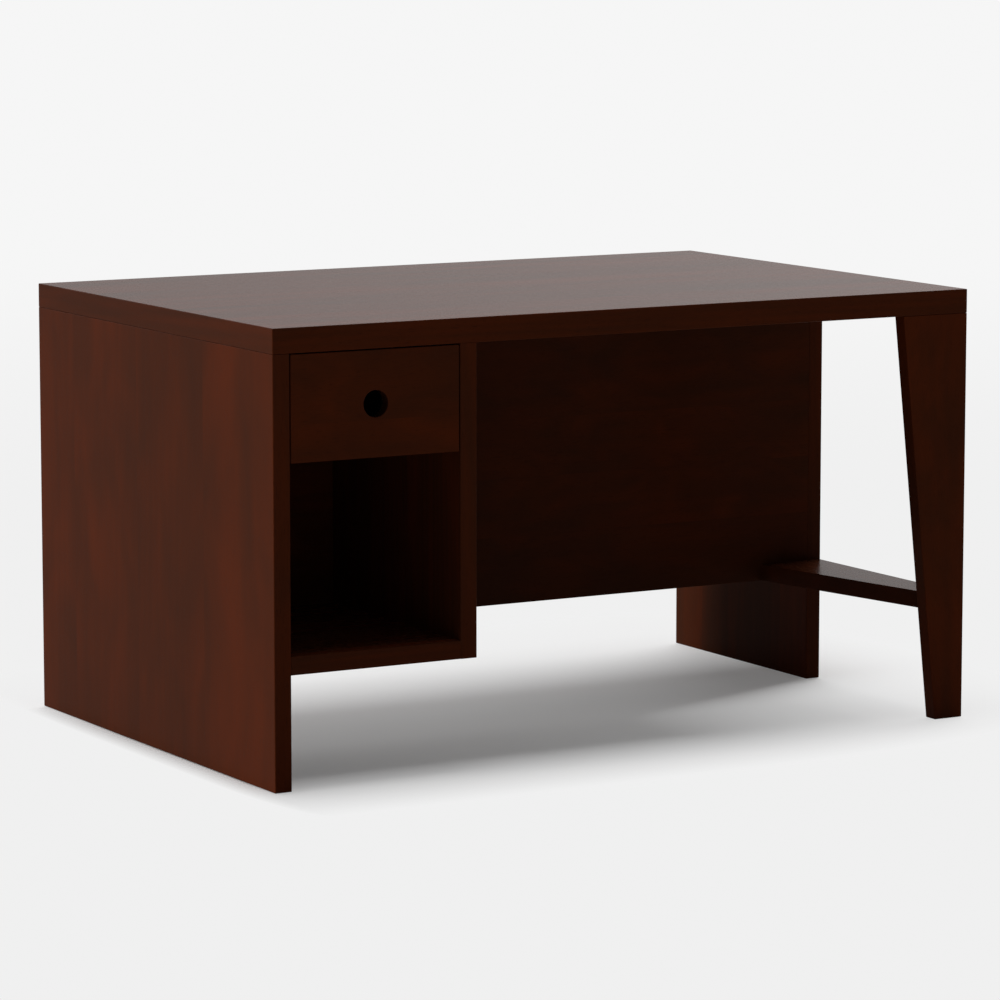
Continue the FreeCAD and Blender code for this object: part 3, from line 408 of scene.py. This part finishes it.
def pick(piece, kind, test):
    bpy.ops.object.mode_set(mode="EDIT")
    bpy.ops.mesh.select_mode(type=kind)
    bpy.ops.mesh.select_all(action="DESELECT")
    bpy.ops.object.mode_set(mode="OBJECT")
    points = piece.data.vertices
    if kind == "FACE":
        for face in piece.data.polygons:
            face.select = test(face.center, face.normal)
    elif kind == "EDGE":
        for edge in piece.data.edges:
            edge.select = test(points[edge.vertices[0]].co, points[edge.vertices[1]].co)
    else:
        for point in points:
            point.select = test(point.co)
    bpy.ops.object.mode_set(mode="EDIT")


def cutAcross(piece, place, direction, **choices):
    bpy.ops.object.mode_set(mode="EDIT")
    bpy.ops.mesh.select_all(action="SELECT")
    bpy.ops.mesh.bisect(plane_co=place, plane_no=direction, **choices)
    bpy.ops.object.mode_set(mode="OBJECT")


def pull(by):
    bpy.ops.mesh.extrude_region_move(TRANSFORM_OT_translate={"value": by})
    bpy.ops.object.mode_set(mode="OBJECT")


def roundEdges(piece, test, radius, segments):
    pick(piece, "EDGE", test)
    bpy.ops.mesh.bevel(offset=radius, offset_type="OFFSET", segments=segments, affect="EDGES",
                       clamp_overlap=True)
    bpy.ops.object.mode_set(mode="OBJECT")


def near(a, b):
    return abs(a - b) < bench["samePlace"]


def runsAlong(a, b, axis):
    return all(near(a[i], b[i]) for i in range(3) if i != axis)


def cylinderAlong(axis, place, radius, depth, slot=0.0):
    turn = {0: (0.0, math.pi / 2, 0.0), 1: (math.pi / 2, 0.0, 0.0), 2: (0.0, 0.0, 0.0)}[axis]
    bpy.ops.object.select_all(action="DESELECT")
    bpy.ops.mesh.primitive_cylinder_add(vertices=bench["holeSides"], radius=radius, depth=depth,
                                        location=place, rotation=turn)
    cutter = bpy.context.object
    bpy.ops.object.transform_apply(location=True, rotation=True, scale=True)
    for way in bothWays if slot else ():  # a slot is a hole that is lengthened along y
        pick(cutter, "VERT", lambda point: (point.y - place[1]) * way > bench["mergeGap"])
        bpy.ops.transform.translate(value=(0.0, way * slot / 2, 0.0))
        bpy.ops.object.mode_set(mode="OBJECT")
    return cutter


def combine(piece, others, operation):
    for other in others:
        change = piece.modifiers.new("combine", "BOOLEAN")
        change.operation = operation
        change.solver = "EXACT"
        change.object = other
        bpy.ops.object.select_all(action="DESELECT")
        bpy.context.view_layer.objects.active = piece
        bpy.ops.object.modifier_apply(modifier=change.name)
        bpy.data.objects.remove(other)


def finishPiece(piece, body, node, material):
    bpy.ops.object.select_all(action="DESELECT")
    piece.select_set(True)
    bpy.context.view_layer.objects.active = piece
    bpy.ops.object.mode_set(mode="EDIT")
    bpy.ops.mesh.select_all(action="SELECT")
    bpy.ops.mesh.remove_doubles(threshold=bench["mergeGap"])
    bpy.ops.mesh.normals_make_consistent(inside=False)
    bpy.ops.object.mode_set(mode="OBJECT")
    bpy.ops.object.shade_smooth_by_angle(angle=math.radians(bench["smoothAngle"]))
    piece.data.materials.clear()
    piece.data.materials.append(material)
    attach(piece, body)
    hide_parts(node)


# Drawer slides: rolled channels with round bends, screw holes and slots; the right hand is a mirrored copy
# Opens is the way that the left hand's channel faces along x, and shares are places along the rail's length

cabinetRail = {"node": "slide_cabinet_member", "body": "desk", "opens": 1.0, "gauge": 0.001, "bend": 0.0006,
               "lip": 0.001, "hole": 0.0038, "holeShares": (0.1, 0.5, 0.9), "slotShares": (0.2, 0.8)}
middleRail = {"node": "slide_middle_member", "body": "slide_middle_", "opens": 1.0, "gauge": 0.001,
              "bend": 0.0006, "lip": 0.0, "hole": 0.0076, "holeShares": (0.1, 0.5, 0.9),
              "slotShares": (0.3, 0.7)}
drawerRail = {"node": "slide_drawer_member", "body": "drawer", "opens": -1.0, "gauge": 0.001, "bend": 0.0006,
              "lip": 0.0, "hole": 0.0038, "holeShares": (0.1, 0.5, 0.9), "slotShares": (0.2, 0.8)}
rolling = {"slotWidth": 0.0042, "slotLength": 0.007, "lipRoom": 1.5, "outerSteps": 5, "innerSteps": 4}


def rollRail(rail):
    low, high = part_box(rail["node"] + "_left")
    opens, gauge, bend, lip = rail["opens"], rail["gauge"], rail["bend"], rail["lip"]
    middle, half = (low[2] + high[2]) / 2, (high[2] - low[2]) / 2
    web, tip = (low[0], high[0]) if opens > 0 else (high[0], low[0])
    inner, lipFace = web + opens * gauge, tip - opens * gauge
    piece = startBox(rail["node"] + "_left_rolled", (min(web, inner), low[1], low[2]),
                     (max(web, inner), high[1], high[2]))
    for way in bothWays:
        cutAcross(piece, (0.0, 0.0, middle + way * (half - gauge)), (0.0, 0.0, 1.0))
    pick(piece, "FACE", lambda centre, normal: normal.x * opens > bench["facing"]
         and abs(centre.z - middle) > half - gauge)
    pull((tip - inner, 0.0, 0.0))
    if lip:
        cutAcross(piece, (lipFace, 0.0, 0.0), (1.0, 0.0, 0.0))
        for way in bothWays:
            pick(piece, "FACE", lambda centre, normal: normal.z * way < -bench["facing"]
                 and (centre.x - lipFace) * opens > 0.0
                 and (centre.z - middle) * way > half - rolling["lipRoom"] * gauge)
            pull((0.0, 0.0, -way * lip))
    for spread, turns, radius, steps in (
            (half, [web, tip] if lip else [web], gauge + bend, rolling["outerSteps"]),
            (half - gauge, [inner, lipFace] if lip else [inner], bend, rolling["innerSteps"])):
        roundEdges(piece, lambda a, b: runsAlong(a, b, 1) and near(abs(a.z - middle), spread)
                   and any(near(a.x, turn) for turn in turns), radius, steps)
    cutters = []
    for shares, width, slot in ((rail["holeShares"], rail["hole"], 0.0),
                                (rail["slotShares"], rolling["slotWidth"], rolling["slotLength"])):
        for share in shares:
            place = ((web + inner) / 2, low[1] + (high[1] - low[1]) * share, middle)
            cutters.append(cylinderAlong(0, place, width / 2, bench["cutDepth"] * gauge, slot))
    combine(piece, cutters, "DIFFERENCE")
    return piece


drawerMiddle = sum(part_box("drawer_front")[k][0] for k in (0, 1)) / 2
for rail in (cabinetRail, middleRail, drawerRail):
    leftPiece = rollRail(rail)
    rightPiece = leftPiece.copy()
    rightPiece.data = leftPiece.data.copy()
    rightPiece.name = rail["node"] + "_right_rolled"
    bpy.context.collection.objects.link(rightPiece)
    bpy.ops.object.select_all(action="DESELECT")
    rightPiece.select_set(True)
    bpy.context.view_layer.objects.active = rightPiece
    rightPiece.scale.x = -1.0
    rightPiece.location.x = 2 * drawerMiddle
    bpy.ops.object.transform_apply(location=True, rotation=True, scale=True)
    for hand, piece in zip(hands, (leftPiece, rightPiece)):
        # the middle rails have a body for each hand
        body = rail["body"] + hand if rail["body"].endswith("_") else rail["body"]
        zinc = metalFinish("rolled_" + piece.name, slideZinc)
        finishPiece(piece, body, rail["node"] + "_" + hand, zinc)
print("slides rolled")

# Leg bracket: bent strip with round corners, screw holes and a pressed rib across the bend
# The rib is a bar, cut slanting and bevelled at its face, and cut off just inside the sheet's outer faces

bracket = {"node": "leg_bracket", "gauge": 0.0025, "bend": 0.002, "corner": 0.008, "hole": 0.0048,
           "holeShares": (0.2, 0.8), "ribWidth": 0.012, "ribReach": 0.022, "ribRound": 0.0052,
           "ribSpare": 0.012, "skinParts": 5, "outerSteps": 6, "innerSteps": 5, "cornerSteps": 7,
           "ribSteps": 6}
low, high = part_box(bracket["node"])
gauge, bend = bracket["gauge"], bracket["bend"]
strap = startBox("leg_bracket_pressed", low, (high[0], low[1] + gauge, high[2]))
cutAcross(strap, (0.0, 0.0, high[2] - gauge), (0.0, 0.0, 1.0))
pick(strap, "FACE", lambda centre, normal: normal.y > bench["facing"] and centre.z > high[2] - gauge)
pull((0.0, high[1] - low[1] - gauge, 0.0))
for inset, radius, steps in ((0.0, gauge + bend, bracket["outerSteps"]),
                             (gauge, bend, bracket["innerSteps"])):
    roundEdges(strap, lambda a, b: runsAlong(a, b, 0) and near(a.y, low[1] + inset)
               and near(a.z, high[2] - inset), radius, steps)
roundEdges(strap, lambda a, b: (runsAlong(a, b, 1) and near(a.z, low[2]))
           or (runsAlong(a, b, 2) and near(a.y, high[1])), bracket["corner"], bracket["cornerSteps"])
ribPlace, ribHalf, reach = (low[0] + high[0]) / 2, bracket["ribWidth"] / 2, bracket["ribReach"]
spare, skin = bracket["ribSpare"], gauge / bracket["skinParts"]
rib = startBox("bracket_rib", (ribPlace - ribHalf, low[1] - spare, high[2] - reach - 2 * spare),
               (ribPlace + ribHalf, low[1] + reach + 2 * spare, high[2] + spare))
cutAcross(rib, (0.0, low[1] + reach, high[2]), (0.0, 1.0, -1.0), use_fill=True, clear_outer=True)
roundEdges(rib, lambda a, b: not near(a.y, b.y) and not near(a.z, b.z), bracket["ribRound"],
           bracket["ribSteps"])
cutAcross(rib, (0.0, low[1] + skin, 0.0), (0.0, -1.0, 0.0), use_fill=True, clear_outer=True)
cutAcross(rib, (0.0, 0.0, high[2] - skin), (0.0, 0.0, 1.0), use_fill=True, clear_outer=True)
combine(strap, [rib], "UNION")
flangeMiddle = (gauge + high[1] - low[1]) / 2
spots = [low[0] + (high[0] - low[0]) * share for share in bracket["holeShares"]]
places = [(1, (x, low[1] + gauge / 2, high[2] - flangeMiddle)) for x in spots]
places += [(2, (x, low[1] + flangeMiddle, high[2] - gauge / 2)) for x in spots]
cutters = [cylinderAlong(axis, place, bracket["hole"] / 2, bench["cutDepth"] * gauge)
           for axis, place in places]
combine(strap, cutters, "DIFFERENCE")
finishPiece(strap, "desk", bracket["node"], mouldedFinish("black_powder_coat", bracketCoat))
print("leg bracket pressed")

# Studio: pale floor that fades into a pale surround, and four soft lamps
# Each lamp: bearing from +x towards +y, height above the floor, power and angular size, angles in degrees

lamps = {"key": (176.0, 5.0, 1.60, 8.0), "side": (40.0, 37.0, 1.3, 58.0), "top": (110.0, 82.0, 1.12, 36.0),
         "rear": (98.0, 8.0, 0.38, 36.0)}
lampStand = (0.0, 0.0, 3.0)
white = (1.0, 1.0, 1.0, 1.0)
# Each fade paints the floor's shadow out into the pale surround: how far inside the footprint's edge it
# starts to go, and how far outside it is gone
studio = {"floorSize": 120.0, "floorColour": (0.98, 0.98, 0.98), "bounceColour": (0.57, 0.57, 0.57),
          "floorGlow": 0.125, "nearShade": 0.87, "farShade": 0.92, "farStart": 2.0, "farEnd": 9.0,
          "ambient": 0.07, "fadeLeft": (0.0, 0.05), "fadeRight": (0.54, 0.32), "fadeFront": (0.11, 0.2),
          "fadeBack": (0.32, 0.36), "openFrom": -0.2, "openTo": 0.06}


def seenRay(tree):
    path = addNode(tree, "LightPath").outputs
    seen = calc(tree, "MAXIMUM", path["Is Camera Ray"], path["Is Glossy Ray"])
    return calc(tree, "MAXIMUM", seen, path["Is Transmission Ray"])


bpy.ops.mesh.primitive_plane_add(size=studio["floorSize"])
floor = bpy.context.object
floor.name = "studio_floor"
paleFloor = bpy.data.materials.new("pale_floor")
paleFloor.use_nodes = True
tree = paleFloor.node_tree
tree.nodes.clear()
where = addNode(tree, "TexCoord").outputs["Object"]
spot = splitAxes(tree, where)
spread, fade = 0.0, 0.0
for axis, way, side in ((0, -1.0, "fadeLeft"), (0, 1.0, "fadeRight"),
                        (1, -1.0, "fadeFront"), (1, 1.0, "fadeBack")):
    inset, beyond = studio[side]
    border = cadBox[1][axis] if way > 0 else -cadBox[0][axis]
    # the shadow is painted lighter here, where light would come in between the leg and the support
    if side == "fadeRight":  # light comes in between the leg and the support, and not behind it
        inset = window(tree, spot[1], studio["openFrom"], studio["openTo"], inset, 0.0)
    past = calc(tree, "ADD", calc(tree, "MULTIPLY_ADD", spot[axis], way, -border), inset)
    past = calc(tree, "MAXIMUM", past, 0.0)
    spread = calc(tree, "MULTIPLY_ADD", past, past, spread)
    past = calc(tree, "DIVIDE", past, calc(tree, "ADD", inset, beyond))
    fade = calc(tree, "MULTIPLY_ADD", past, past, fade)
away = calc(tree, "SQRT", spread)
fade = calc(tree, "SQRT", fade, clamp=True)
lit = addNode(tree, "BsdfDiffuse", {"Color": (*studio["floorColour"], 1.0)}).outputs[0]
glow = addNode(tree, "Emission", {"Color": white, "Strength": studio["floorGlow"]}).outputs[0]
lit = addNode(tree, "AddShader", {0: lit, 1: glow}).outputs[0]
shade = window(tree, away, studio["farStart"], studio["farEnd"], studio["nearShade"], studio["farShade"])
far = addNode(tree, "Emission", {"Color": white, "Strength": shade}).outputs[0]
shown = addNode(tree, "MixShader", {0: fade, 1: lit, 2: far}).outputs[0]
bounce = addNode(tree, "BsdfDiffuse", {"Color": (*studio["bounceColour"], 1.0)}).outputs[0]
either = addNode(tree, "MixShader", {0: seenRay(tree), 1: bounce, 2: shown}).outputs[0]
addNode(tree, "OutputMaterial", {"Surface": either})
floor.data.materials.append(paleFloor)

world = bpy.data.worlds.new("pale_surround")
bpy.context.scene.world = world
world.use_nodes = True
tree = world.node_tree
tree.nodes.clear()
soft = addNode(tree, "Background", {"Color": white, "Strength": studio["ambient"]}).outputs[0]
pale = addNode(tree, "Background", {"Color": white, "Strength": studio["farShade"]}).outputs[0]
either = addNode(tree, "MixShader", {0: seenRay(tree), 1: soft, 2: pale}).outputs[0]
addNode(tree, "OutputWorld", {"Surface": either})

for name, (bearing, height, power, size) in lamps.items():
    bpy.ops.object.light_add(type="SUN", location=lampStand,
                             rotation=(math.radians(90.0 - height), 0.0, math.radians(90.0 + bearing)))
    lamp = bpy.context.object
    lamp.name = name + "_lamp"
    lamp.data.energy = power
    lamp.data.angle = math.radians(size)

viewPoint = {"place": (-4.0881, -7.1040, 1.5314), "pitch": 7.98, "yaw": 29.92, "lens": 167.59, "sensor": 36.0,
             "reach": 300.0}
aim = (math.radians(90.0 - viewPoint["pitch"]), 0.0, -math.radians(viewPoint["yaw"]))
bpy.ops.object.camera_add(location=viewPoint["place"], rotation=aim)
camera = bpy.context.object
camera.data.lens = viewPoint["lens"]
camera.data.sensor_width = viewPoint["sensor"]
camera.data.clip_end = viewPoint["reach"]
bpy.context.scene.camera = camera
bpy.context.scene.view_settings.view_transform = "Standard"
print("studio and camera set")
